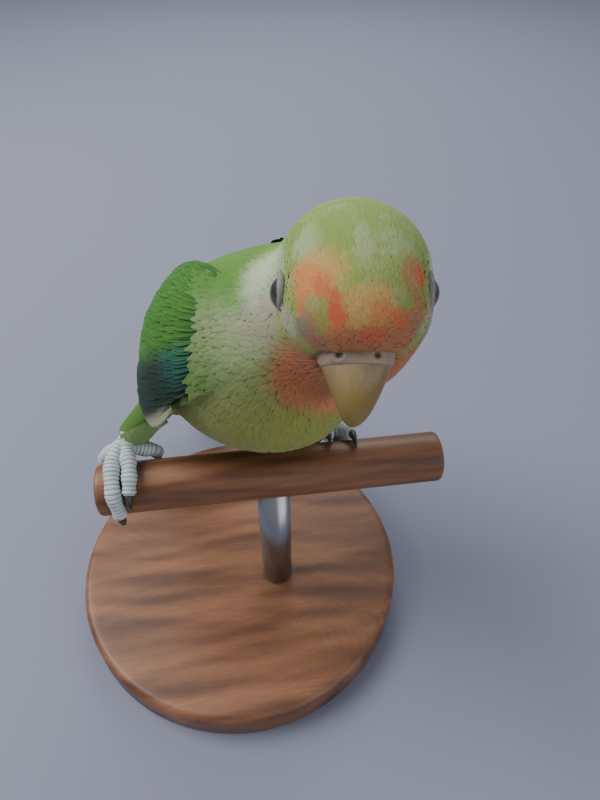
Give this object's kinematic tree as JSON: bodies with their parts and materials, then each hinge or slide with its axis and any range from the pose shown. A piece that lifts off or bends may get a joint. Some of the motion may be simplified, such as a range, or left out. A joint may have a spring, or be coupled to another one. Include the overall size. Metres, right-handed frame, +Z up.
{
  "type": "peach-faced lovebird, life-size display model",
  "caption": "Life-size still model of a young peach-faced lovebird gripping a short round perch with its head turned to its left, on a plain stand with a round base.",
  "frame": {"origin": "centre of the underside of the round stand base", "axes": "+Z up; the perch lies along X; the bird looks towards -Y and its left is +X"},
  "size_m": [0.093, 0.1137, 0.122],
  "materials": {
    "body_plumage": "soft yellow-green small feathers, paler on the throat",
    "head_plumage": "short yellow-green crown feathers with a mottled orange forehead and salmon cheeks",
    "wing_plumage": "green coverts over blackish blue-green flight feathers",
    "tail_plumage": "green tail feathers with orange, black and blue bars towards the tips",
    "cere": "soft grey-mauve skin",
    "bill": "horn, yellowish with greenish grey sides, satin",
    "eye": "wet and glossy, nearly black brown",
    "foot_skin": "grey scaly skin with rings of scutes",
    "claw": "dark horn, satin",
    "stand_wood": "turned hardwood, oiled",
    "stand_metal": "brushed steel rod"
  },
  "bodies": {
    "root": {"torso": "body_plumage", "neck": "body_plumage", "head": "head_plumage", "cere": "cere", "bill_upper": "bill", "bill_lower": "bill", "eye_right": "eye", "eye_left": "eye", "wing_right": "wing_plumage", "wing_left": "wing_plumage", "tail": "tail_plumage", "foot_right": "foot_skin", "foot_left": "foot_skin", "leg_right": "body_plumage", "leg_left": "body_plumage", "claw_right_1": "claw", "claw_right_2": "claw", "claw_right_3": "claw", "claw_right_4": "claw", "claw_left_1": "claw", "claw_left_2": "claw", "claw_left_3": "claw", "claw_left_4": "claw", "stand_perch": "stand_wood", "stand_post": "stand_metal", "stand_base": "stand_wood"}
  },
  "joints": []
}
